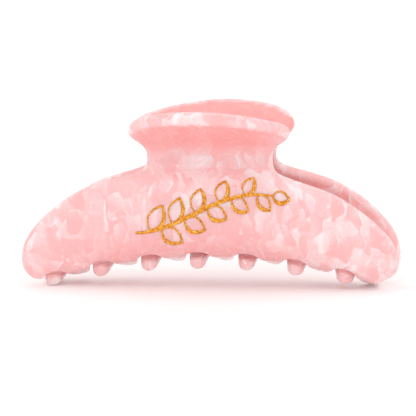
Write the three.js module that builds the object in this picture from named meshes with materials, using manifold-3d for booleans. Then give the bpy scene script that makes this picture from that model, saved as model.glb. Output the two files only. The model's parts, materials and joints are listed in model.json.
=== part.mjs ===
// A large claw clip for thick hair, cut from cellulose acetate sheet and formed over a mould.
// Two identical jaws, one turned half a turn about Z, hinge on a steel pin inside a coil spring.
// Millimetres, +Z up towards the grips, X along the clip, front jaw on the -Y side.
import * as THREE from "three";
import Module from "manifold-3d";
import { TessellateModifier } from "three/addons/modifiers/TessellateModifier.js";
import { mergeVertices } from "three/addons/utils/BufferGeometryUtils.js";

// ---- Driving dimensions ----
const SHEET = 3.4; // thickness of the acetate
const EDGE_CHAMFER = 0.7; // where the tumbled edges are rounded off
const WAIST_DEPTH = 7.5; // the sheet's middle at the neck, out from the hinge axis
const PIN_Z = 36.357; // the hinge axis, above the lowest fingertip
const ARCH = 0.0035; // how far the body hangs lower towards its ends, per mm squared along X
const ARCH_LENGTH = 33; // along the sheet, from the waist to where it hangs lowest
const BOW = 0.00015; // how the depth shrinks towards the ends, per mm squared along X

const FINGER_PITCH = 13.4;
const FINGER_OFFSET = FINGER_PITCH / 4; // a jaw turned half a turn then has its fingers in the slots
const FINGERS_LEFT = 3; // fingers on the -X side of the offset one
const FINGERS_RIGHT = 3;
const SLOT_ROOT = -28.4; // along the sheet from the waist

const PIN_RADIUS = 1.1;
const BORE_RADIUS = 1.4;
const HEAD_RADIUS = 2.3;
const PIN_HALF = 16.3;
const HEAD_THICKNESS = 0.9;
const WASHER_THICKNESS = 0.5;
const WASHER_X = 14.85; // middle of each washer
const LUG_RADIUS = 3.8;
const LUG_WIDTH = 2.8;
const OUTER_LUG_X = 12.9; // middle of each jaw's outer lug
const INNER_LUG_X = 9.5; // middle of each jaw's inner lug, on its other side
const LUG_REACH = 3.4; // along the neck, up and down from the waist
const GLUE_GAP = 0.3;

const WIRE_RADIUS = 0.65;
const COIL_RADIUS = 2.7; // to the middle of the wire
const COIL_HALF = 6.2;
const COIL_TURNS = 6.5;
const FOOT_LENGTH = 2.4;

const FOIL_THICKNESS = 0.3;
const FOIL_GAP = 0.3;
const STEM_WIDTH = 0.9;
const LEAF_COUNT = 11;
const LEAF_LENGTH = 8.2;
const LEAF_HALF_WIDTH = 2.5;
const LEAF_STROKE = 0.6;

const MAX_EDGE = 4.2; // longest mesh edge across the bends
const EDGE_STRETCH = 2; // edges along X may be this much longer, where the sheet hardly bends

// ---- Materials ----
const acetate = (color) => new THREE.MeshStandardMaterial({ color, roughness: 0.25, metalness: 0 });
const steel = () => new THREE.MeshStandardMaterial({ color: 0xc9c8c6, roughness: 0.3, metalness: 1 });
const gold = () => new THREE.MeshStandardMaterial({ color: 0xe09a2d, roughness: 0.4, metalness: 0.9 });

// ---- The sheet's section ----
// Arcs from the waist, up the grip and down the body: [radius, lean at the end in degrees]. The lean
// is outwards from straight up or straight down, and a minus radius turns the lean back inwards.
const GRIP_ARCS = [[8.5, 53], [40, 80]];
const BODY_ARCS = [[7, 46], [-14, -22], [-9.5, -79.5], [400, -77]];

// The depth and height reached at a length s along the arcs; the last arc goes on past its end.
function follow(arcs, s) {
  let depth = 0;
  let rise = 0;
  let lean = 0;
  arcs.forEach(([radius, degrees], i) => {
    const end = THREE.MathUtils.degToRad(degrees);
    const length = radius * (end - lean);
    const used = i === arcs.length - 1 ? s : Math.min(s, length);
    const next = lean + used / radius;
    depth += radius * (Math.cos(lean) - Math.cos(next));
    rise += radius * (Math.sin(next) - Math.sin(lean));
    lean = next;
    s -= used;
  });
  return { depth, rise };
}

// The middle of the front jaw's sheet at x, and h along the sheet from the waist.
function middle(x, h) {
  const { depth, rise } = follow(h > 0 ? GRIP_ARCS : BODY_ARCS, Math.abs(h));
  const drop = rise + ARCH * x * x * Math.sin((-h * Math.PI) / (2 * ARCH_LENGTH));
  return new THREE.Vector3(x, -(WAIST_DEPTH + depth) * (1 - BOW * x * x), PIN_Z + (h > 0 ? rise : -drop));
}

// A point n outwards from the middle of the sheet.
function onSheet(x, h, n) {
  const step = 0.05;
  const alongX = middle(x + step, h).sub(middle(x - step, h));
  const alongH = middle(x, h + step).sub(middle(x, h - step));
  return middle(x, h).addScaledVector(alongX.cross(alongH).normalize(), n);
}

// Bends a flat piece, drawn in x and h with its thickness along n, onto the front jaw.
function bend(flat, maxEdge) {
  const fine = new TessellateModifier(maxEdge, 14).modify(flat.scale(1 / EDGE_STRETCH, 1, 1));
  fine.scale(EDGE_STRETCH, 1, 1);
  fine.deleteAttribute("normal");
  fine.deleteAttribute("uv");
  const bent = mergeVertices(fine, 1e-4);
  const at = bent.attributes.position;
  for (let i = 0; i < at.count; i += 1) {
    at.setXYZ(i, ...onSheet(at.getX(i), at.getY(i), at.getZ(i)));
  }
  bent.computeVertexNormals();
  return bent;
}

// ---- The jaw, cut flat ----
// The crown of the grip from +X to -X, a little higher on the -X side.
const CROWN = [
  [20.8, 10.7], [17.3, 12.8], [9, 16.5], [0, 18.7], [-9, 18.3], [-17.2, 15.4], [-20.7, 12.0],
];
// One side of the grip and neck, from the grip's widest place down.
const GRIP_EDGE = [[21.9, 8.6], [20.8, 6.0], [18.7, 3.8], [17.4, 1.8], [17.1, 0], [17.2, -1.7]];
// The shoulders, the one at -X higher.
const LOW_SHOULDER = [
  [17.8, -3.4], [19.2, -4.9], [21.6, -6.0], [25.2, -7.1], [33, -9.2], [40.2, -12.1],
  [45.6, -14.9], [49.1, -17.2], [51.0, -19.6], [51.6, -22.0],
];
const HIGH_SHOULDER = [
  [17.9, -3.1], [19.4, -4.4], [21.8, -5.4], [25.4, -6.3], [33, -8.3], [40.2, -11.2],
  [45.6, -14.2], [49.1, -16.8], [51.0, -19.4], [51.6, -22.0],
];
// The end left of the fingers stops short; the end right of them runs on into half a finger.
const SHORT_END = [
  [51.2, -24.8], [50.0, -27.2], [48.4, -29.3], [47.1, -30.0], [46.1, -29.4], [45.0, -28.5],
];
const LONG_END = [[51.1, -24.2], [49.9, -26.3], [48.2, -28.2], [46.9, -30.6], [46.2, -33.5]];
// Half of a finger: [half width, distance below the slot's root].
const FINGER_EDGE = [
  [6.7, 0], [5.0, 0.35], [4.0, 1.6], [3.5, 3.8], [2.9, 9], [2.4, 14.2], [2.1, 16.9], [1.3, 18.5], [0, 19],
];

// The side of finger number k: 1 for its right edge, -1 for its left edge, from the root to the tip.
function fingerEdge(k, side) {
  const x = FINGER_OFFSET + k * FINGER_PITCH;
  return FINGER_EDGE.map(([half, below]) => new THREE.Vector2(x + side * half, SLOT_ROOT - below));
}

// The whole outline, anticlockwise from the +X end over the crown to the -X end, then the fingers.
function jawOutline() {
  const edge = (points, side) => points.map(([x, h]) => new THREE.Vector2(side * x, h));
  const rim = [
    ...edge([...GRIP_EDGE, ...LOW_SHOULDER, ...LONG_END], 1).reverse(),
    ...edge(CROWN, 1),
    ...edge([...GRIP_EDGE, ...HIGH_SHOULDER, ...SHORT_END], -1),
  ];
  const smooth = new THREE.SplineCurve(rim).getPoints(2 * rim.length - 2);
  const fingers = [];
  for (let k = -FINGERS_LEFT; k <= FINGERS_RIGHT; k += 1) {
    fingers.push(...fingerEdge(k, -1).slice(0, -1));
    fingers.push(...fingerEdge(k, 1).reverse().slice(0, -1));
  }
  const past = fingers.findLastIndex((p) => p.y < -33);
  return [...smooth, ...fingers.slice(0, past + 1)];
}

function jawGeometry() {
  const flat = new THREE.ExtrudeGeometry(new THREE.Shape(jawOutline()), {
    depth: SHEET - 2 * EDGE_CHAMFER,
    bevelThickness: EDGE_CHAMFER,
    bevelSize: EDGE_CHAMFER,
    bevelOffset: -EDGE_CHAMFER,
    bevelSegments: 1,
  });
  return bend(flat.translate(0, 0, EDGE_CHAMFER - SHEET / 2), MAX_EDGE);
}

// ---- The hinge ----
// A knuckle round the pin, with a foot that follows the inside of the neck it is bonded to.
function lugGeometry(x) {
  const foot = [];
  for (let h = -LUG_REACH; h <= LUG_REACH + 0.01; h += LUG_REACH / 3) {
    const p = onSheet(x, h, -SHEET / 2 - GLUE_GAP);
    foot.push(new THREE.Vector2(p.y, p.z - PIN_Z));
  }
  const shape = new THREE.Shape(foot);
  shape.absarc(0, 0, LUG_RADIUS, THREE.MathUtils.degToRad(110), THREE.MathUtils.degToRad(-110), true);
  shape.holes.push(new THREE.Path().absarc(0, 0, BORE_RADIUS, 0, 2 * Math.PI, false));
  const flat = new THREE.ExtrudeGeometry(shape, {
    depth: LUG_WIDTH,
    bevelEnabled: false,
    curveSegments: 14,
  });
  const [alongY, alongZ, alongX] = [0, 1, 2].map((i) => new THREE.Vector3().setComponent((i + 1) % 3, 1));
  flat.translate(0, 0, x - LUG_WIDTH / 2);
  flat.applyMatrix4(new THREE.Matrix4().makeBasis(alongY, alongZ, alongX));
  return flat.translate(0, 0, PIN_Z);
}

// A profile of [radius, x] turned about the hinge axis.
function turned(profile) {
  const points = profile.map(([radius, x]) => new THREE.Vector2(radius, x));
  return new THREE.LatheGeometry(points, 28).rotateZ(-Math.PI / 2).translate(0, 0, PIN_Z);
}

function pinGeometry() {
  const neck = PIN_HALF - HEAD_THICKNESS;
  return turned([
    [0, -PIN_HALF], [HEAD_RADIUS - 0.3, -PIN_HALF], [HEAD_RADIUS, 0.3 - PIN_HALF], [HEAD_RADIUS, -neck],
    [PIN_RADIUS, -neck], [PIN_RADIUS, neck],
    [HEAD_RADIUS, neck], [HEAD_RADIUS, PIN_HALF - 0.3], [HEAD_RADIUS - 0.3, PIN_HALF], [0, PIN_HALF],
  ]);
}

function washerGeometry(x) {
  const [near, far] = [x - WASHER_THICKNESS / 2, x + WASHER_THICKNESS / 2];
  const [inner, outer] = [BORE_RADIUS, HEAD_RADIUS + 0.3];
  return turned([[inner, near], [outer, near], [outer, far], [inner, far], [inner, near]]);
}

// The wire runs down the rear leg, round the coil and up the front leg. Each leg is [depth, height]
// from the hinge axis, and ends in a short foot turned out along X, which lies inside the grip.
const LEG = [[2.75, 1.6], [2.85, 3.6], [3.7, 5.8], [5.6, 7.3], [7.5, 8.0]];

function springGeometry() {
  const leg = (side) => {
    const points = LEG.map(([y, z]) => new THREE.Vector3(side * COIL_HALF, side * y, z));
    const end = points.at(-1);
    points.push(end.clone().add(new THREE.Vector3(side * 0.9, side * 0.4, 0.15)));
    points.push(end.clone().add(new THREE.Vector3(side * FOOT_LENGTH, side * 0.4, 0.15)));
    return points;
  };
  const coil = [];
  const steps = Math.round(COIL_TURNS * 14);
  for (let i = 0; i <= steps; i += 1) {
    const angle = -2 * Math.PI * COIL_TURNS * (i / steps);
    const x = COIL_HALF * (1 - (2 * i) / steps);
    coil.push(new THREE.Vector3(x, COIL_RADIUS * Math.cos(angle), COIL_RADIUS * Math.sin(angle)));
  }
  const path = new THREE.CatmullRomCurve3([...leg(1).reverse(), ...coil, ...leg(-1)], false, "chordal");
  const section = new THREE.Shape().absarc(0, 0, WIRE_RADIUS, 0, 2 * Math.PI, false);
  const wire = new THREE.ExtrudeGeometry(section, { extrudePath: path, steps: 130, curveSegments: 3 });
  return wire.translate(0, 0, PIN_Z);
}

// ---- The foil sprig on the front ----
const STEM = new THREE.CubicBezierCurve(
  new THREE.Vector2(-19.5, -20.5),
  new THREE.Vector2(-7, -21.5),
  new THREE.Vector2(3, -9.5),
  new THREE.Vector2(18, -11.5),
);

function leafPath(path, inset) {
  const [start, end, half] = [inset * 2, LEAF_LENGTH - inset * 2, LEAF_HALF_WIDTH - inset];
  path.moveTo(start, 0);
  path.quadraticCurveTo(LEAF_LENGTH * 0.42, -2 * half, end, 0);
  path.quadraticCurveTo(LEAF_LENGTH * 0.42, 2 * half, start, 0);
  return path;
}

// A leaf in outline on the stem, which gets smaller towards the stem's end.
function leafGeometry(i) {
  const along = 0.1 + (0.88 * i) / (LEAF_COUNT - 1);
  const last = i === LEAF_COUNT - 1;
  const tangent = STEM.getTangent(along).angle();
  const turn = last ? 0 : THREE.MathUtils.degToRad(i % 2 ? -48 : 52);
  const scale = 1 - 0.35 * along;
  const shape = leafPath(new THREE.Shape(), 0);
  shape.holes.push(leafPath(new THREE.Path(), LEAF_STROKE / scale));
  const foot = STEM.getPoint(along);
  const leaf = new THREE.ExtrudeGeometry(shape, {
    depth: FOIL_THICKNESS,
    bevelEnabled: false,
    curveSegments: 6,
  });
  return leaf.scale(scale, scale, 1).rotateZ(tangent + turn).translate(foot.x, foot.y, 0);
}

function stemGeometry() {
  const sides = [[], []];
  for (let i = 0; i <= 16; i += 1) {
    const [p, t] = [STEM.getPoint(i / 16), STEM.getTangent(i / 16)];
    const across = new THREE.Vector2(-t.y, t.x).multiplyScalar(STEM_WIDTH / 2);
    sides[0].push(p.clone().sub(across));
    sides[1].unshift(p.clone().add(across));
  }
  const shape = new THREE.Shape([...sides[0], ...sides[1]]);
  return new THREE.ExtrudeGeometry(shape, { depth: FOIL_THICKNESS, bevelEnabled: false });
}

const wasm = await Module();
wasm.setup();

function solid(geometry) {
  geometry.deleteAttribute("normal");
  geometry.deleteAttribute("uv");
  const merged = mergeVertices(geometry, 1e-4);
  return new wasm.Manifold(
    new wasm.Mesh({
      numProp: 3,
      vertProperties: merged.attributes.position.array,
      triVerts: new Uint32Array(merged.index.array),
    }),
  );
}

function sprigGeometry() {
  let joined = solid(stemGeometry());
  for (let i = 0; i < LEAF_COUNT; i += 1) {
    joined = joined.add(solid(leafGeometry(i)));
  }
  const mesh = joined.getMesh();
  const flat = new THREE.BufferGeometry();
  flat.setAttribute("position", new THREE.BufferAttribute(mesh.vertProperties, 3));
  flat.setIndex(new THREE.BufferAttribute(mesh.triVerts, 1));
  flat.computeVertexNormals();
  return bend(flat.translate(0, 0, SHEET / 2 + FOIL_GAP), MAX_EDGE);
}

// ---- Assembly ----
const clip = new THREE.Group();

function add(parent, name, geometry, material) {
  const mesh = new THREE.Mesh(geometry, material);
  mesh.name = name;
  parent.add(mesh);
}

const jaw = jawGeometry();
const outerLug = lugGeometry(OUTER_LUG_X);
const innerLug = lugGeometry(-INNER_LUG_X);
for (const [side, turn, color] of [["front", 0, 0xfdd3d3], ["rear", Math.PI, 0xf6c6c6]]) {
  const half = new THREE.Group();
  half.rotation.z = turn;
  add(half, `${side}_jaw`, jaw.clone(), acetate(color));
  add(half, `${side}_outer_lug`, outerLug.clone(), acetate(0xf7b9b9));
  add(half, `${side}_inner_lug`, innerLug.clone(), acetate(0xf7b9b9));
  clip.add(half);
}
add(clip, "hinge_pin", pinGeometry(), steel());
add(clip, "pin_washer_left", washerGeometry(-WASHER_X), steel());
add(clip, "pin_washer_right", washerGeometry(WASHER_X), steel());
add(clip, "torsion_spring", springGeometry(), steel());
add(clip, "foil_sprig", sprigGeometry(), gold());

export default clip;
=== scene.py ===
"""The looks of a large hair claw clip of marbled pink acetate with a gold foil sprig.

Lengths are in millimetres in the frame of the CAD part, and are scaled to metres when a mesh is made.
A jaw is drawn flat in (x, h) with n through the sheet, then bent to the same section as in the part.
"""

import json
import math

import bpy
import numpy as np
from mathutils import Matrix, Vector
from mathutils.geometry import delaunay_2d_cdt

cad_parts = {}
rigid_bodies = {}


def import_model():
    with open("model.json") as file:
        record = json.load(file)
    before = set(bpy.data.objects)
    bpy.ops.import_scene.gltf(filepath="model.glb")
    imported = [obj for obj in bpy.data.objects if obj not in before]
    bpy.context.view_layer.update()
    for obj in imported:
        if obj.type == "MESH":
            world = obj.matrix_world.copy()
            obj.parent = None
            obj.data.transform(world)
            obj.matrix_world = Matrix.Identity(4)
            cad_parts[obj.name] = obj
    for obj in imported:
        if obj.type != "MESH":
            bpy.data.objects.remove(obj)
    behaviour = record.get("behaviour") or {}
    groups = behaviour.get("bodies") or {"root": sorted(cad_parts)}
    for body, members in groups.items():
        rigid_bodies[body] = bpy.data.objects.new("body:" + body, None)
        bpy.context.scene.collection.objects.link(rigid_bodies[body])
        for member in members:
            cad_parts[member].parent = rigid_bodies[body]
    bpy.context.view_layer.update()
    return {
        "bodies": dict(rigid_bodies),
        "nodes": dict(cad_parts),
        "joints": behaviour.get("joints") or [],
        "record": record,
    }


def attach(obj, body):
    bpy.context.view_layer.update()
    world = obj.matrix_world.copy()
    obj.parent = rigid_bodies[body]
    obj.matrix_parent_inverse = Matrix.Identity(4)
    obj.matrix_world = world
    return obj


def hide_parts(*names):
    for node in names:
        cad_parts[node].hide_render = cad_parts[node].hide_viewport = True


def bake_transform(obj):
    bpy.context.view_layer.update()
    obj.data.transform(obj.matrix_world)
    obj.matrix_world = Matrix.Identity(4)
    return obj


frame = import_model()
MM = 0.001

# ---- Dimensions shared with the CAD part ----
SHEET = 3.4
WAIST_DEPTH = 7.5
PIN_Z = 36.357
ARCH = 0.0035
ARCH_LENGTH = 33
BOW = 0.00015
FINGER_PITCH = 13.4
FINGER_OFFSET = FINGER_PITCH / 4
FINGERS_EACH_SIDE = 3  # of the offset one
LAST_EDGE_TOP = -33  # where the last finger's outer edge gives way to the long end
SLOT_ROOT = -28.4
BORE_RADIUS = 1.4
PIN_RADIUS = 1.1
PIN_HALF = 16.3
HEAD_RADIUS = 2.3
HEAD_THICKNESS = 0.9
WASHER_THICKNESS = 0.5
WASHER_X = 14.85
LUG_RADIUS = 3.8
LUG_WIDTH = 2.8
OUTER_LUG_X = 12.9
INNER_LUG_X = 9.5
LUG_REACH = 3.4
WIRE_RADIUS = 0.65
COIL_RADIUS = 2.7
COIL_HALF = 6.2
COIL_TURNS = 6.5
LEG = [(2.75, 1.6), (2.85, 3.6), (3.7, 5.8), (5.6, 7.3), (7.5, 8.0)]  # depth and height from the pin
FOOT_LENGTH = 2.4
LEAF_COUNT = 11
LEAF_LENGTH = 8.2
LEAF_HALF_WIDTH = 2.5

GRIP_ARCS = [(8.5, 53), (40, 80)]  # (radius, lean at the end in degrees), going up from the waist
BODY_ARCS = [(7, 46), (-14, -22), (-9.5, -79.5), (400, -77)]  # going down

# The jaw cut flat, from the crown of the grip down. The shoulder at -X is the high one.
CROWN = [
    (20.8, 10.7), (17.3, 12.8), (9, 16.5), (0, 18.7), (-9, 18.3), (-17.2, 15.4), (-20.7, 12.0),
]
GRIP_EDGE = [(21.9, 8.6), (20.8, 6.0), (18.7, 3.8), (17.4, 1.8), (17.1, 0), (17.2, -1.7)]
LOW_SHOULDER = [
    (17.8, -3.4), (19.2, -4.9), (21.6, -6.0), (25.2, -7.1), (33, -9.2), (40.2, -12.1),
    (45.6, -14.9), (49.1, -17.2), (51.0, -19.6), (51.6, -22.0),
]
HIGH_SHOULDER = [
    (17.9, -3.1), (19.4, -4.4), (21.8, -5.4), (25.4, -6.3), (33, -8.3), (40.2, -11.2),
    (45.6, -14.2), (49.1, -16.8), (51.0, -19.4), (51.6, -22.0),
]
SHORT_END = [(51.2, -24.8), (50.0, -27.2), (48.4, -29.3), (47.1, -30.0), (46.1, -29.4), (45.0, -28.5)]
LONG_END = [(51.1, -24.2), (49.9, -26.3), (48.2, -28.2), (46.9, -30.6), (46.2, -33.5)]
# Half of a finger: (half width, distance below the slot's root).
FINGER_EDGE = [
    (6.7, 0), (5.0, 0.35), (4.0, 1.6), (3.5, 3.8), (2.9, 9), (2.4, 14.2), (2.1, 16.9), (1.3, 18.5), (0, 19),
]

STEM = np.array([(-19.5, -20.5), (-7, -21.5), (3, -9.5), (18, -11.5)], float)  # a cubic curve's points

# ---- Detail that only the looks have ----
EDGE_RADIUS = 1.3  # the tumbled edges of the sheet
EDGE_ROWS = 6
EDGE_WINDOW = 9  # outline points to each side over which that rounding is evened out
OUTLINE_STEP = 0.55
INNER_STEP = 1.25
LUG_BEVEL = 0.35
BORE_BEVEL = 0.15
BORE_POINTS = 40
LIP_WIDTH = 1.7  # of the band along the crown that the painted shade leaves out, so it stays paler
# How much shade is painted into the acetate's colour in the hollow below the lip, under the belly and inside
# the grips.
HOLLOW_SHADE, BELLY_SHADE, BACK_SHADE = 0.56, 0.38, 0.72
FOIL_BASE = SHEET / 2 - 0.05
FOIL_HEIGHT = 0.24


# ---- The bent sheet ----
def follow(arcs, s):
    """The depth and height at lengths s along the arcs."""
    depth, rise, lean = np.zeros_like(s), np.zeros_like(s), np.zeros_like(s)
    for i, (radius, degrees) in enumerate(arcs):
        length = radius * (math.radians(degrees) - lean)
        used = s if i == len(arcs) - 1 else np.minimum(s, length)
        turned = lean + used / radius
        depth = depth + radius * (np.cos(lean) - np.cos(turned))
        rise = rise + radius * (np.sin(turned) - np.sin(lean))
        lean = turned
        s = s - used
    return depth, rise


def middle(x, h):
    """The middle of the bent front jaw at x, and h along the sheet from the waist."""
    up, down = follow(GRIP_ARCS, np.maximum(h, 0)), follow(BODY_ARCS, np.maximum(-h, 0))
    depth = np.where(h > 0, up[0], down[0])
    drop = down[1] + ARCH * x * x * np.sin(-h * math.pi / (2 * ARCH_LENGTH))
    y = -(WAIST_DEPTH + depth) * (1 - BOW * x * x)
    return np.stack([x, y, PIN_Z + np.where(h > 0, up[1], -drop)], axis=-1)


def on_sheet(points, n):
    """Points (x, h) of the flat front jaw, n outwards from the middle of the bent sheet."""
    x, h = points[:, 0], points[:, 1]
    step = 0.05
    along_x = middle(x + step, h) - middle(x - step, h)
    along_h = middle(x, h + step) - middle(x, h - step)
    return middle(x, h) + unit(np.cross(along_x, along_h)) * np.broadcast_to(n, len(points))[:, None]


# ---- Mesh helpers ----
def make(name, verts, faces, material, body, replaced):
    """A finished piece on a CAD body. body is None for a piece that is left on no body."""
    mesh = bpy.data.meshes.new(name)
    mesh.from_pydata((np.asarray(verts) * MM).tolist(), [], [tuple(int(i) for i in f) for f in faces])
    mesh.validate()
    mesh.polygons.foreach_set("use_smooth", [True] * len(mesh.polygons))
    mesh.materials.append(material)
    mesh.update()
    piece = bpy.data.objects.new(name, mesh)
    bpy.context.scene.collection.objects.link(piece)
    if body:
        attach(piece, body)
    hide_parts(*replaced)
    return piece


def band(low, high, count, flip=False):
    """Quads between two closed rows of count points, which start at low and at high."""
    quads = []
    for i in range(count):
        j = (i + 1) % count
        quad = [low + i, low + j, high + j, high + i]
        quads.append(quad[::-1] if flip else quad)
    return quads


def unit(vectors):
    return vectors / np.linalg.norm(vectors, axis=1)[:, None]


def catmull_rom(points, samples, closed):
    """A smooth line through the points, centripetal so that it stays close to them."""
    p = np.array(points, float)
    if closed:
        p = np.vstack([p[-1], p, p[0], p[1]])
    else:
        p = np.vstack([2 * p[0] - p[1], p, 2 * p[-1] - p[-2]])
    line = []
    for a, b, c, d in zip(p, p[1:], p[2:], p[3:]):
        k = np.cumsum([0] + [max(np.linalg.norm(v), 1e-6) ** 0.5 for v in (b - a, c - b, d - c)])
        for t in np.linspace(k[1], k[2], samples, endpoint=False):
            ab = ((k[1] - t) * a + (t - k[0]) * b) / (k[1] - k[0])
            bc = ((k[2] - t) * b + (t - k[1]) * c) / (k[2] - k[1])
            cd = ((k[3] - t) * c + (t - k[2]) * d) / (k[3] - k[2])
            abc = ((k[2] - t) * ab + (t - k[0]) * bc) / (k[2] - k[0])
            bcd = ((k[3] - t) * bc + (t - k[1]) * cd) / (k[3] - k[1])
            line.append(((k[2] - t) * abc + (t - k[1]) * bcd) / (k[2] - k[1]))
    if not closed:
        line.append(p[-2])
    return np.array(line)


def even(line, step, closed):
    """The same line with its points evenly spaced, about step apart."""
    walk = np.vstack([line, line[:1]]) if closed else line
    at = np.concatenate([[0], np.cumsum(np.linalg.norm(np.diff(walk, axis=0), axis=1))])
    count = max(2, round(at[-1] / step))
    where = np.linspace(0, at[-1], count + 1)
    where = where[:-1] if closed else where
    return np.stack([np.interp(where, at, walk[:, i]) for i in range(walk.shape[1])], axis=1)


def edge_distance(points, loop):
    """How far each 2-D point is from a closed loop."""
    a, b = loop, np.roll(loop, -1, axis=0)
    nearest = np.full(len(points), np.inf)
    for start in range(0, len(points), 400):
        p = points[start:start + 400, None, :]
        along = np.clip(((p - a) * (b - a)).sum(2) / ((b - a) ** 2).sum(1), 0, 1)
        gap = np.linalg.norm(p - (a + along[..., None] * (b - a)), axis=2)
        nearest[start:start + 400] = gap.min(1)
    return nearest


def inside(points, loop):
    """Whether each 2-D point is inside a closed loop."""
    a, b = loop, np.roll(loop, -1, axis=0)
    hit = np.zeros(len(points), bool)
    for (ax, ay), (bx, by) in zip(a, b):
        if ay == by:
            continue
        cross = (ay > points[:, 1]) != (by > points[:, 1])
        hit ^= cross & (points[:, 0] < ax + (points[:, 1] - ay) * (bx - ax) / (by - ay))
    return hit


# ---- The jaw ----
def jaw_outline():
    """Anticlockwise seen from outside, from the +X end over the crown to the -X end, then the fingers."""
    rim = (GRIP_EDGE + LOW_SHOULDER + LONG_END)[::-1] + CROWN
    rim += [(-x, h) for x, h in GRIP_EDGE + HIGH_SHOULDER + SHORT_END]
    fingers = []
    for k in range(-FINGERS_EACH_SIDE, FINGERS_EACH_SIDE + 1):
        x = FINGER_OFFSET + k * FINGER_PITCH
        fingers += [(x - half, SLOT_ROOT - below) for half, below in FINGER_EDGE[:-1]]
        fingers += [(x + half, SLOT_ROOT - below) for half, below in FINGER_EDGE[:0:-1]]
    past = max(i for i, (_, h) in enumerate(fingers) if h < LAST_EDGE_TOP)
    return even(catmull_rom(rim + fingers[:past + 1], 12, True), OUTLINE_STEP, True)


def inward_normals(loop):
    tangent = np.roll(loop, -1, axis=0) - np.roll(loop, 1, axis=0)
    return unit(np.stack([-tangent[:, 1], tangent[:, 0]], axis=1))


def edge_radii(loop, radius, window):
    """The rounding of the edge all round, less where the outline itself turns tightly."""
    ahead, behind = np.roll(loop, -1, axis=0) - loop, loop - np.roll(loop, 1, axis=0)
    turn = behind[:, 0] * ahead[:, 1] - behind[:, 1] * ahead[:, 0]
    bend = np.maximum(turn / np.linalg.norm(ahead, axis=1) ** 3, 1e-3)
    radii = np.minimum(radius, 0.8 / bend)
    for soften in (np.min, np.mean):
        padded = np.concatenate([radii[-window:], radii, radii[:window]])
        radii = np.array([soften(padded[i:i + 2 * window + 1]) for i in range(len(loop))])
    return radii


def edge_rings(outline):
    """The rounded edge on one side of the sheet, as (ring, n), from the rim to the flat face."""
    inward = inward_normals(outline)
    edge = edge_radii(outline, EDGE_RADIUS, EDGE_WINDOW)
    rings = []
    for angle in np.linspace(0, math.pi / 2, EDGE_ROWS):
        ring = outline + inward * (edge * (1 - math.cos(angle)))[:, None]
        rings.append((ring, SHEET / 2 - edge * (1 - math.sin(angle))))
    return rings


def fill(ring):
    """Even triangles inside a ring: the points, the ring's own first, and the triangles."""
    low, high = ring.min(0), ring.max(0)
    xs = np.arange(low[0], high[0], INNER_STEP)
    hs = np.arange(low[1], high[1], INNER_STEP * math.sqrt(0.75))
    grid = np.array([(x + (j % 2) * INNER_STEP / 2, h) for j, h in enumerate(hs) for x in xs])
    grid = grid[inside(grid, ring)]
    grid = grid[edge_distance(grid, ring) > 0.55 * INNER_STEP]
    seeds = np.vstack([ring, grid])
    loop = list(range(len(ring)))
    _, _, tris, origin, _, _ = delaunay_2d_cdt([Vector(p) for p in seeds], [], [loop], 1, 1e-7, True)
    tris = np.array([[origin[i][0] for i in tri] for tri in tris])
    return seeds, tris[inside(seeds[tris].mean(1), ring)].tolist()


def jaw_mesh():
    """The bent jaw's points and faces, and each point's place (x, h) and n on the flat sheet."""
    rings = edge_rings(jaw_outline())
    count = len(rings[0][0])
    seeds, inner = fill(rings[-1][0])
    flats, heights, faces, start = [], [], [], {}
    for side in (1, -1):
        start[side] = sum(len(v) for v in flats)
        flats += [ring for ring, _ in rings[:-1]] + [seeds]
        heights += [side * n for _, n in rings[:-1]] + [np.full(len(seeds), side * SHEET / 2)]
        for row in range(EDGE_ROWS - 1):
            low = start[side] + row * count
            faces += band(low, low + count, count, flip=side == -1)
        top = start[side] + (EDGE_ROWS - 1) * count
        faces += [[top + i for i in tri[::side]] for tri in inner]
    faces += band(start[-1], start[1], count)
    flats, heights = np.vstack(flats), np.concatenate(heights)
    return on_sheet(flats, heights), faces, flats, heights


def turned_about_z(verts):
    return np.asarray(verts) * [-1, -1, 1]


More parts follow.
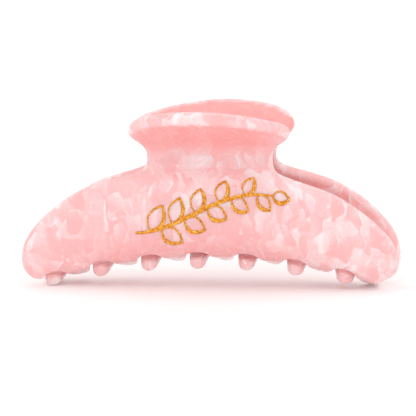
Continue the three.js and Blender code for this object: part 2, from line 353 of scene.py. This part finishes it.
# ---- Materials ----
class Nodes:
    """A material's node tree with short calls."""

    def __init__(self, name):
        self.material = bpy.data.materials.new(name)
        self.material.use_nodes = True
        self.tree = self.material.node_tree
        self.shader = self.tree.nodes["Principled BSDF"]

    def add(self, kind, inputs=None, **settings):
        node = self.tree.nodes.new(kind)
        for key, value in settings.items():
            setattr(node, key, value)
        for key, value in (inputs or {}).items():
            self.set(node, key, value)
        return node

    def set(self, node, key, value):
        if isinstance(value, bpy.types.NodeSocket):
            self.tree.links.new(value, node.inputs[key])
        else:
            node.inputs[key].default_value = value

    def math(self, operation, a, b=0.0, clamp=False):
        node = self.add("ShaderNodeMath", {0: a, 1: b}, operation=operation, use_clamp=clamp)
        return node.outputs[0]

    def ramp(self, value, stops):
        node = self.add("ShaderNodeValToRGB", {0: value})
        elements = node.color_ramp.elements
        while len(elements) < len(stops):
            elements.new(0.5)
        for element, (position, color) in zip(elements, stops):
            element.position = position
            element.color = (*color, 1) if isinstance(color, tuple) else (color, color, color, 1)
        return node.outputs[0]

    def mix(self, factor, a, b, blend="MIX"):
        node = self.add("ShaderNodeMix", {0: factor, 6: a, 7: b}, data_type="RGBA", blend_type=blend)
        return node.outputs[2]

    def spread(self, value, low, high):
        """value from low to high, as 0 to 1, eased."""
        limits = {0: value, 1: low, 2: high, 3: 0.0, 4: 1.0}
        return self.add("ShaderNodeMapRange", limits, interpolation_type="SMOOTHSTEP").outputs[0]

    def vector(self, operation, a, b=(0.0, 0.0, 0.0)):
        return self.add("ShaderNodeVectorMath", {0: a, 1: b}, operation=operation).outputs[0]

    def place(self):
        """Object coordinates."""
        return self.add("ShaderNodeTexCoord").outputs["Object"]

    def noise(self, vector, scale, detail=3.0):
        return self.add("ShaderNodeTexNoise", {"Vector": vector, "Scale": scale, "Detail": detail})

    def bump(self, height, strength, distance):
        node = self.add("ShaderNodeBump", {"Strength": strength, "Distance": distance, "Height": height})
        self.set(self.shader, "Normal", node.outputs[0])

    def surface(self, **values):
        """Sets the shader's sockets, such as Base_Color for Base Color."""
        for key, value in values.items():
            self.set(self.shader, key.replace("_", " "), value)


def srgb(r, g, b):
    """A colour of 0 to 255 in linear light."""
    return tuple((c / 255 / 12.92) if c <= 10 else ((c / 255 + 0.055) / 1.055) ** 2.4 for c in (r, g, b))


# The acetate: thin pearly chips pressed together, each with its own shade, streaks and lean.
CHIP = 0.0066  # metres across
TONES = [
    (0.08, srgb(250, 192, 192)), (0.34, srgb(252, 204, 205)), (0.52, srgb(253, 216, 217)),
    (0.75, srgb(254, 228, 229)), (0.97, srgb(255, 238, 240)),
]
PAINTED_SHADE_COLOR = srgb(250, 178, 171)  # painted shade: the deeper coral that the colour is darkened towards where shade falls
GREY = (0.5, 0.5, 0.5)


def chips(m, place, size, turn, stretch):
    """A layer of chips: their tone, from a shade, a slope and fine streaks for each, and a random value."""
    laid = m.add("ShaderNodeMapping", {0: place, 2: turn, 3: stretch}).outputs[0]
    settings = {"Vector": laid, "Scale": 1 / size, "Smoothness": 0.22}
    cells = m.add("ShaderNodeTexVoronoi", settings, feature="SMOOTH_F1")
    shade = m.add("ShaderNodeSeparateColor", {0: cells.outputs["Color"]}).outputs
    lean = m.vector("NORMALIZE", m.vector("SUBTRACT", cells.outputs["Color"], GREY))
    local = m.vector("SUBTRACT", laid, cells.outputs["Position"])
    across = m.add("ShaderNodeVectorMath", {0: local, 1: lean}, operation="DOT_PRODUCT").outputs["Value"]
    across = m.math("MULTIPLY", across, 1 / size)
    lines = {0: m.math("MULTIPLY", across, 7.0), 1: m.math("MULTIPLY", shade[0], 90.0)}
    streak = m.noise(m.add("ShaderNodeCombineXYZ", lines).outputs[0], 1.0).outputs["Fac"]
    tone = m.math("ADD", m.math("MULTIPLY", shade[1], 0.45), m.math("MULTIPLY", across, 0.55))
    return m.math("ADD", tone, m.math("MULTIPLY", m.math("SUBTRACT", streak, 0.25), 0.5)), shade[2]


def acetate(name, shift):
    m = Nodes(name)
    place = m.place()
    moved = m.vector("ADD", place, shift)
    warp = m.vector("SUBTRACT", m.noise(moved, 170.0, 1.5).outputs["Color"], GREY)
    warp = m.add("ShaderNodeVectorMath", {0: warp, "Scale": 0.006}, operation="SCALE").outputs[0]
    bent = m.vector("ADD", warp, moved)
    upright, _ = chips(m, bent, CHIP, (0.0, 0.25, 0.15), (1.6, 1.0, 0.65))
    lying, over = chips(m, bent, CHIP * 1.2, (0.25, -0.45, 0.0), (0.85, 1.0, 1.15))
    small, few = chips(m, bent, CHIP * 0.6, (0.1, 0.5, 0.3), (1.5, 1.0, 0.75))
    tone = m.add("ShaderNodeMix", {0: m.spread(over, 0.45, 0.6), 2: upright, 3: lying}).outputs[0]
    tone = m.add("ShaderNodeMix", {0: m.spread(few, 0.66, 0.72), 2: tone, 3: small}).outputs[0]
    drawn = m.add("ShaderNodeMapping", {0: bent, 2: (0.1, 0.35, 0.2), 3: (1.0, 0.8, 0.3)}).outputs[0]
    streaks = m.spread(m.noise(drawn, 420.0, 2.0).outputs["Fac"], 0.56, 0.7)
    pearl = m.math("MULTIPLY", streaks, m.spread(over, 0.3, 0.8))
    cloud = m.noise(moved, 60.0).outputs["Fac"]
    grain = m.noise(bent, 900.0).outputs["Fac"]
    tone = m.math("ADD", tone, m.math("MULTIPLY", m.math("SUBTRACT", cloud, 0.5), 0.5))
    tone = m.math("ADD", tone, m.math("MULTIPLY", m.math("SUBTRACT", grain, 0.5), 0.22))
    tone = m.math("ADD", tone, m.math("MULTIPLY", pearl, 0.45), True)
    color = m.ramp(tone, TONES)
    # Painted shade: a per-point mask darkens the colour in the hollow below the lip, inside the grips and
    # under the belly.
    painted_shade = m.add("ShaderNodeAttribute", attribute_name="painted_shade").outputs["Fac"]
    color = m.mix(painted_shade, color, (*TONES[2][1], 1))  # where shade is painted, the chips are first evened out to one tone
    color = m.mix(painted_shade, color, m.mix(1.0, color, (*PAINTED_SHADE_COLOR, 1), "MULTIPLY"))
    m.surface(
        Base_Color=color, Roughness=m.ramp(grain, [(0.3, 0.2), (0.7, 0.3)]), IOR=1.48,
        Subsurface_Weight=0.6, Subsurface_Radius=(1.0, 0.4, 0.35), Subsurface_Scale=0.004,
        Coat_Weight=0.25, Coat_Roughness=0.08,
    )
    m.bump(m.noise(place, 130.0, 2.0).outputs["Fac"], 0.15, 0.0006)
    return m.material


def steel():
    """Nickel plated wire and pin, with fine lines round the hinge axis."""
    m = Nodes("nickel_steel")
    place = m.place()
    drawn = m.add("ShaderNodeMapping", {0: place, 3: (0.12, 1.0, 1.0)}).outputs[0]
    lines = m.noise(drawn, 6000.0).outputs["Fac"]
    spots = m.noise(place, 500.0).outputs["Fac"]
    m.surface(
        Base_Color=m.ramp(spots, [(0.3, (0.5, 0.49, 0.475)), (0.7, (0.68, 0.67, 0.65))]),
        Metallic=1.0, Roughness=m.ramp(lines, [(0.3, 0.2), (0.7, 0.36)]),
    )
    m.bump(lines, 0.25, 0.00004)
    return m.material


def gold_foil():
    """Glitter foil: small flakes, each its own gold."""
    m = Nodes("gold_glitter_foil")
    flakes = m.add("ShaderNodeTexVoronoi", {"Vector": m.place(), "Scale": 3600.0, "Randomness": 1.0})
    shade = m.add("ShaderNodeSeparateColor", {0: flakes.outputs["Color"]}).outputs
    golds = [
        (0.0, srgb(194, 104, 12)), (0.35, srgb(228, 142, 28)),
        (0.7, srgb(244, 168, 46)), (1.0, srgb(255, 218, 122)),
    ]
    m.surface(
        Base_Color=m.ramp(shade[0], golds), Metallic=0.55,
        Roughness=m.ramp(shade[1], [(0.0, 0.28), (1.0, 0.55)]),
    )
    m.bump(shade[2], 0.5, 0.00006)
    return m.material


STEEL = steel()
# Each shift takes the chips from another part of the pattern.
ACETATE = {
    "front": acetate("pink_acetate_front", (0.013, 0.02, 0.007)),
    "rear": acetate("pink_acetate_rear", (0.21, 0.31, 0.17)),
}
LUG_ACETATE = acetate("pink_acetate_lugs", (0.4, 0.11, 0.33))
FOIL = gold_foil()


# ---- Jaws ----
def ease(value, low, high):
    t = np.clip((value - low) / (high - low), 0, 1)
    return t * t * (3 - 2 * t)


def painted_shade_mask(flat, n):
    """Painted shade: how much to darken the colour in the hollow below the lip, inside the grips and under
    the belly.
    """
    x, h = flat[:, 0], flat[:, 1]
    lip = np.interp(x, *np.array(CROWN[::-1]).T) - LIP_WIDTH
    below_lip = 1 - ease(h, lip - 0.7, lip)
    hollow = ease(h, -1.0, 5.5) * below_lip * (1 - ease(np.abs(x), 14, 23)) * (n > 0)
    belly = ease(-h, 17.0, 26.0) * (1 - ease(-h, 30, 38)) * (1 - ease(np.abs(x + 4), 18, 42))
    back = ease(h, 3.0, 7.0) * below_lip * (n < 0)
    return np.clip(HOLLOW_SHADE * hollow + BELLY_SHADE * belly + BACK_SHADE * back, 0, 1)


jaw_verts, jaw_faces, jaw_flat, jaw_n = jaw_mesh()
for half, place in (("front", jaw_verts), ("rear", turned_about_z(jaw_verts))):
    jaw = make(f"{half}_jaw_sheet", place, jaw_faces, ACETATE[half], f"{half}_half",
               [f"{half}_jaw"])
    # The amount of painted shade at each point, which the acetate reads.
    painted_shade = jaw.data.attributes.new("painted_shade", "FLOAT", "POINT")
    painted_shade.data.foreach_set("value", painted_shade_mask(jaw_flat, jaw_n))


# ---- Lugs ----
def lug_section(x):
    """The outline of a knuckle round the pin and its foot on the neck, in (y, z) from the hinge axis."""
    hs = np.linspace(-LUG_REACH, LUG_REACH, 13)
    foot = on_sheet(np.stack([np.full(13, x), hs], axis=1), -SHEET / 2)[:, 1:] - [0, PIN_Z]
    angles = np.radians(np.linspace(110, -110, 40))
    knuckle = np.stack([LUG_RADIUS * np.cos(angles), LUG_RADIUS * np.sin(angles)], axis=1)
    outer = even(np.vstack([foot, knuckle])[::-1], 0.3, True)
    for _ in range(4):
        outer = (np.roll(outer, 1, axis=0) + 2 * outer + np.roll(outer, -1, axis=0)) / 4
    return outer


def flat_ring(outer, bore):
    """Triangles between an outer loop and a bore, whose points are numbered after the loop's."""
    n, bores = len(outer), len(bore)
    edges = [(i, (i + 1) % n) for i in range(n)]
    edges += [(n + i, n + (i + 1) % bores) for i in range(bores)]
    seeds = [Vector(p) for p in np.vstack([outer, bore])]
    _, _, tris, origin, _, _ = delaunay_2d_cdt(seeds, edges, [], 1, 1e-7, True)
    kept = []
    for tri in tris:
        ids = [origin[i][0] for i in tri]
        centre = sum((seeds[i] for i in ids), Vector((0, 0))) / 3
        if min(ids) < n and inside(np.array([centre]), outer)[0]:
            kept.append(ids)
    return kept


def lug_mesh(x):
    """A lug's section extruded along X, with its outer edges and its bore's edges rounded."""
    outer = lug_section(x)
    inward, edge = inward_normals(outer), edge_radii(outer, LUG_BEVEL, 3)
    turns = np.linspace(0, 2 * math.pi, BORE_POINTS, endpoint=False)
    bore = np.stack([np.cos(turns), np.sin(turns)], axis=1)
    rows = []
    for t in np.linspace(0, math.pi / 2, 4):
        rows.append((1 - math.sin(t), x - LUG_WIDTH / 2 + LUG_BEVEL * (1 - math.cos(t))))
    rows += [(inset, 2 * x - at) for inset, at in rows[::-1]]
    outer_rings = [outer + inward * (edge * inset)[:, None] for inset, _ in rows]
    bore_rings = [bore * (BORE_RADIUS + BORE_BEVEL * inset) for inset, _ in rows]
    verts, faces, n = [], [], len(outer)
    for rings in (outer_rings, bore_rings):
        for ring, (_, at) in zip(rings, rows):
            verts.append(np.column_stack([np.full(len(ring), at), ring]))
    base = n * len(rows)
    for row in range(len(rows) - 1):
        faces += band(row * n, (row + 1) * n, n)
        low = base + row * BORE_POINTS
        faces += band(low, low + BORE_POINTS, BORE_POINTS, flip=True)
    for row in (0, len(rows) - 1):
        for ids in flat_ring(outer_rings[row], bore_rings[row]):
            face = [row * n + i if i < n else base + row * BORE_POINTS + i - n for i in ids]
            faces.append(face if row else face[::-1])
    return np.vstack(verts) + [0, 0, PIN_Z], faces


for kind, x in (("outer", OUTER_LUG_X), ("inner", -INNER_LUG_X)):
    lug_verts, lug_faces = lug_mesh(x)
    for half, place in (("front", lug_verts), ("rear", turned_about_z(lug_verts))):
        make(f"{half}_{kind}_knuckle", place, lug_faces, LUG_ACETATE, f"{half}_half",
             [f"{half}_{kind}_lug"])


# ---- Pin and washers ----
def lathe(profile, segments=56):
    """A closed profile of (radius, x) turned about the hinge axis. A radius of 0 closes an end."""
    angles = np.linspace(0, 2 * math.pi, segments, endpoint=False)
    verts, rows = [], []
    for radius, x in profile:
        if radius == 0:
            rows.append([len(verts)] * segments)
            verts.append((x, 0, PIN_Z))
        else:
            rows.append(list(range(len(verts), len(verts) + segments)))
            verts += [(x, radius * math.cos(a), PIN_Z + radius * math.sin(a)) for a in angles]
    faces = []
    for low, high in zip(rows, rows[1:]):
        for i in range(segments):
            j = (i + 1) % segments
            face = [low[i], low[j], high[j], high[i]]
            unique = list(dict.fromkeys(face))
            if len(unique) > 2:
                faces.append(unique)
    return np.array(verts), faces


def pin_profile():
    """A pin with a domed, riveted head on each end."""
    head = []
    for t in np.linspace(0, math.pi / 2, 8):
        head.append((HEAD_RADIUS * math.sin(t), PIN_HALF - HEAD_THICKNESS * 0.75 * (1 - math.cos(t))))
    under = PIN_HALF - HEAD_THICKNESS
    side = [(HEAD_RADIUS, under + 0.12), (HEAD_RADIUS - 0.06, under + 0.03), (HEAD_RADIUS - 0.16, under),
            (PIN_RADIUS + 0.1, under), (PIN_RADIUS, under - 0.1)]
    half = head + side
    return [(r, -x) for r, x in half] + [(r, x) for r, x in half[::-1]]


def washer_profile(x):
    """A flat ring with its outer edges rounded, as a closed profile."""
    near, far, inner, outer = -WASHER_THICKNESS / 2, WASHER_THICKNESS / 2, BORE_RADIUS, HEAD_RADIUS + 0.3
    soft = 0.08
    loop = [
        (inner + soft, near), (outer - soft, near), (outer - soft * 0.3, near + soft * 0.3),
        (outer, near + soft), (outer, far - soft), (outer - soft * 0.3, far - soft * 0.3),
        (outer - soft, far), (inner + soft, far), (inner, far - soft), (inner, near + soft),
        (inner + soft, near),
    ]
    return [(r, x + at) for r, at in loop]


def close_seam(verts, faces, segments=56):
    """Joins the last ring of a closed profile to its first."""
    last = len(verts) - segments
    faces = [[i - last if i >= last else i for i in f] for f in faces]
    return verts[:last], faces


pin_verts, pin_faces = lathe(pin_profile())
make("hinge_pin_steel", pin_verts, pin_faces, STEEL, "front_half", ["hinge_pin"])
for side, x in (("left", -WASHER_X), ("right", WASHER_X)):
    ring_verts, ring_faces = close_seam(*lathe(washer_profile(x)))
    make(f"washer_{side}", ring_verts, ring_faces, STEEL, "front_half", [f"pin_washer_{side}"])


# ---- Torsion spring ----
def spring_path():
    """The wire's middle line: up from one foot, round the coil and down to the other."""
    def leg(side):
        points = [(side * COIL_HALF, side * y, z) for y, z in LEG]
        x, y, z = points[-1]
        points.append((x + side * 0.9, y + side * 0.4, z + 0.15))
        points.append((x + side * FOOT_LENGTH, y + side * 0.4, z + 0.15))
        return points

    steps = round(COIL_TURNS * 14)
    angles = -2 * math.pi * COIL_TURNS * np.arange(steps + 1) / steps
    xs = COIL_HALF * (1 - 2 * np.arange(steps + 1) / steps)
    coil = np.stack([xs, COIL_RADIUS * np.cos(angles), COIL_RADIUS * np.sin(angles)], axis=1)
    line = catmull_rom(np.vstack([leg(1)[::-1], coil, leg(-1)]), 6, False)
    return even(line, 0.32, False) + [0, 0, PIN_Z]


def tube(line, radius, around=14, cap_rows=4):
    """A wire along a line, with its two ends rounded."""
    tangent = unit(np.gradient(line, axis=0))
    side = np.cross(tangent[0], [0, 0, 1.0])
    side /= np.linalg.norm(side)
    angles = np.linspace(0, 2 * math.pi, around, endpoint=False)
    frames = []
    for p, t in zip(line, tangent):
        side = side - t * side.dot(t)
        side /= np.linalg.norm(side)
        frames.append((p, t, side, np.cross(t, side)))

    def ring(p, a, b, r):
        return [p + r * (math.cos(t) * a + math.sin(t) * b) for t in angles]

    def cap(frame, out):
        """Rings from the wire's full radius towards the point of its end."""
        p, t, a, b = frame
        return [
            ring(p + out * t * radius * 0.5 * math.sin(e), a, b, radius * math.cos(e))
            for e in np.linspace(0, math.pi / 2, cap_rows, endpoint=False)[1:]
        ]

    rows = cap(frames[0], -1)[::-1] + [ring(p, a, b, radius) for p, _, a, b in frames] + cap(frames[-1], 1)
    ends = [p + out * t * radius * 0.5 for (p, t, _, _), out in ((frames[0], -1), (frames[-1], 1))]
    verts = [ends[0]] + [v for row in rows for v in row] + [ends[1]]
    faces = []
    for row in range(len(rows) - 1):
        faces += band(1 + row * around, 1 + (row + 1) * around, around)
    low = 1 + (len(rows) - 1) * around
    for i in range(around):
        j = (i + 1) % around
        faces += [[0, 1 + j, 1 + i], [low + i, low + j, len(verts) - 1]]
    return np.array(verts), faces


spring_verts, spring_faces = tube(spring_path(), WIRE_RADIUS)
spring = make("torsion_spring_wire", spring_verts, spring_faces, STEEL, None, ["torsion_spring"])
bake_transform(spring)

# ---- Foil sprig ----
def stem_point(t):
    """A point of the stem and the stem's direction there."""
    a, b, c, d = STEM
    u = 1 - t
    p = u ** 3 * a + 3 * u * u * t * b + 3 * u * t * t * c + t ** 3 * d
    v = 3 * u * u * (b - a) + 6 * u * t * (c - b) + 3 * t * t * (d - c)
    return p, v / np.linalg.norm(v)


def leaf_line(i):
    """The middle line of a leaf's outline, from its foot round and back."""
    along = 0.1 + 0.88 * i / (LEAF_COUNT - 1)
    foot, tangent = stem_point(along)
    turn = 0 if i == LEAF_COUNT - 1 else math.radians(-48 if i % 2 else 52)
    scale = 1 - 0.35 * along
    length, half = LEAF_LENGTH - 0.8, LEAF_HALF_WIDTH - 0.3

    def quad(a, b, c, samples=14):
        t = np.linspace(0, 1, samples)[:, None]
        a, b, c = np.array(a), np.array(b), np.array(c)
        return (1 - t) ** 2 * a + 2 * t * (1 - t) * b + t * t * c

    line = np.vstack([
        quad((0.4, 0), (LEAF_LENGTH * 0.42, -2 * half), (length, 0)),
        quad((length, 0), (LEAF_LENGTH * 0.42, 2 * half), (0.4, 0))[1:],
    ]) * scale
    angle = math.atan2(tangent[1], tangent[0]) + turn
    c, s = math.cos(angle), math.sin(angle)
    return line @ np.array([(c, s), (-s, c)]) + foot


def stroke_mesh(line, widths):
    """A domed stroke of foil, bent onto the jaw."""
    offsets = np.array([-1, -0.92, -0.6, 0, 0.6, 0.92, 1])
    heights = np.array([0, 0.55, 0.9, 1.0, 0.9, 0.55, 0])
    tangent = unit(np.gradient(line, axis=0))
    across = np.stack([-tangent[:, 1], tangent[:, 0]], axis=1) * widths[:, None] / 2
    count, wide = len(line), len(offsets)
    verts = [on_sheet(line + across * o, FOIL_BASE + FOIL_HEIGHT * n) for o, n in zip(offsets, heights)]
    verts = np.stack(verts, axis=1).reshape(-1, 3)
    faces = []
    for i in range(count - 1):
        for k in range(wide - 1):
            faces.append([i * wide + k, (i + 1) * wide + k, (i + 1) * wide + k + 1, i * wide + k + 1])
        faces.append([i * wide, i * wide + wide - 1, (i + 1) * wide + wide - 1, (i + 1) * wide])
    last = (count - 1) * wide
    faces += [list(range(wide)), list(range(last, last + wide))[::-1]]
    return verts, faces


def sprig():
    """The stem and the leaves, each drawn like a pen stroke: broad and narrow by turns."""
    strokes = []
    t = np.linspace(0, 1, 90)
    stem = np.array([stem_point(v)[0] for v in t])
    strokes.append((stem, 0.35 + 0.85 * np.sin(math.pi * np.clip(t * 0.92 + 0.08, 0, 1)) ** 0.7))
    for i in range(LEAF_COUNT):
        line = even(leaf_line(i), 0.25, False)
        s = np.linspace(0, 1, len(line))
        widths = 0.42 + 0.6 * np.sin(math.pi * np.clip(s * 2, 0, 1)) ** 1.3 + 0.22 * np.sin(math.pi * s) ** 2
        strokes.append((line, widths))
    verts, faces = [], []
    for line, widths in strokes:
        v, f = stroke_mesh(line, widths)
        base = sum(len(x) for x in verts)
        verts.append(v)
        faces += [[base + i for i in face] for face in f]
    return np.vstack(verts), faces


sprig_verts, sprig_faces = sprig()
make("gold_sprig", sprig_verts, sprig_faces, FOIL, "front_half", ["foil_sprig"])

# ---- Studio ----
WORLD_COLOR = (1.0, 0.985, 0.98, 1)
WORLD_STRENGTH = 0.86
FLOOR_SHADES = [(0.3, (0.965, 0.965, 0.965)), (0.7, (0.98, 0.98, 0.98))]
FLOOR_GLOW = 0.09  # keeps the floor and backdrop near white
FLOOR_HALF = 2.2  # metres, as all of the studio is
FLOOR_FRONT = -1.2
SWEEP_START = 0.9
SWEEP_RADIUS = 0.5
BACKDROP_TOP = 2.2
LIGHTS = [  # name, place, size, watts
    ("key", (-0.35, -0.7, 0.85), 0.7, 1.35),
    ("fill", (0.6, -0.7, 0.35), 0.8, 0.5),
    ("top", (0.0, 0.1, 1.0), 0.9, 1.0),
]
LIT_POINT = Vector((0, 0, 0.022))

scene = bpy.context.scene
scene.view_settings.view_transform = "Standard"
scene.world = bpy.data.worlds.new("studio")
scene.world.use_nodes = True
background = scene.world.node_tree.nodes["Background"]
background.inputs[0].default_value = WORLD_COLOR
background.inputs[1].default_value = WORLD_STRENGTH


def floor_material():
    m = Nodes("pale_floor")
    m.surface(
        Base_Color=m.ramp(m.noise(m.place(), 60.0).outputs["Fac"], FLOOR_SHADES), Roughness=0.9,
        Emission_Color=(1.0, 1.0, 1.0, 1.0), Emission_Strength=FLOOR_GLOW,
    )
    return m.material


def stage_sweep():
    """A floor that curves up into a backdrop behind the clip."""
    profile = [(FLOOR_FRONT, 0), (SWEEP_START, 0)]
    for t in np.linspace(0, math.pi / 2, 16)[1:]:
        profile.append((SWEEP_START + SWEEP_RADIUS * math.sin(t), SWEEP_RADIUS * (1 - math.cos(t))))
    profile.append((SWEEP_START + SWEEP_RADIUS, BACKDROP_TOP))
    verts = [(x, y, z) for y, z in profile for x in (-FLOOR_HALF, FLOOR_HALF)]
    faces = [(2 * i, 2 * i + 1, 2 * i + 3, 2 * i + 2) for i in range(len(profile) - 1)]
    mesh = bpy.data.meshes.new("sweep")
    mesh.from_pydata(verts, [], faces)
    mesh.polygons.foreach_set("use_smooth", [True] * len(mesh.polygons))
    mesh.materials.append(floor_material())
    floor = bpy.data.objects.new("studio_sweep", mesh)
    scene.collection.objects.link(floor)


def area_light(name, place, size, watts):
    data = bpy.data.lights.new(name, "AREA")
    data.shape = "DISK"
    data.size = size
    data.energy = watts
    light = bpy.data.objects.new(name, data)
    light.location = place
    light.rotation_euler = (LIT_POINT - Vector(place)).to_track_quat("-Z", "Y").to_euler()
    scene.collection.objects.link(light)


stage_sweep()
for lamp in LIGHTS:
    area_light(*lamp)

# ---- Camera: a long lens, a little to the right of the front and above ----
AZIMUTH = math.radians(5.2)
ELEVATION = math.radians(7.4)
DISTANCE = 0.914
AIM = Vector((0, 0, 0.02024))
AIM_LEFT = 0.00118
AIM_UP = 0.0011
FOCAL_LENGTH = 287.7
level = Vector((math.sin(AZIMUTH), -math.cos(AZIMUTH), 0)) * math.cos(ELEVATION)
back = level + Vector((0, 0, math.sin(ELEVATION)))
right = Vector((math.cos(AZIMUTH), math.sin(AZIMUTH), 0))
lens = bpy.data.cameras.new("camera")
lens.sensor_width = 36
lens.lens = FOCAL_LENGTH
lens.clip_end = 20
camera = bpy.data.objects.new("camera", lens)
camera.location = AIM - right * AIM_LEFT + back.cross(right) * AIM_UP + back * DISTANCE
camera.rotation_euler = back.to_track_quat("Z", "Y").to_euler()
scene.collection.objects.link(camera)
scene.camera = camera
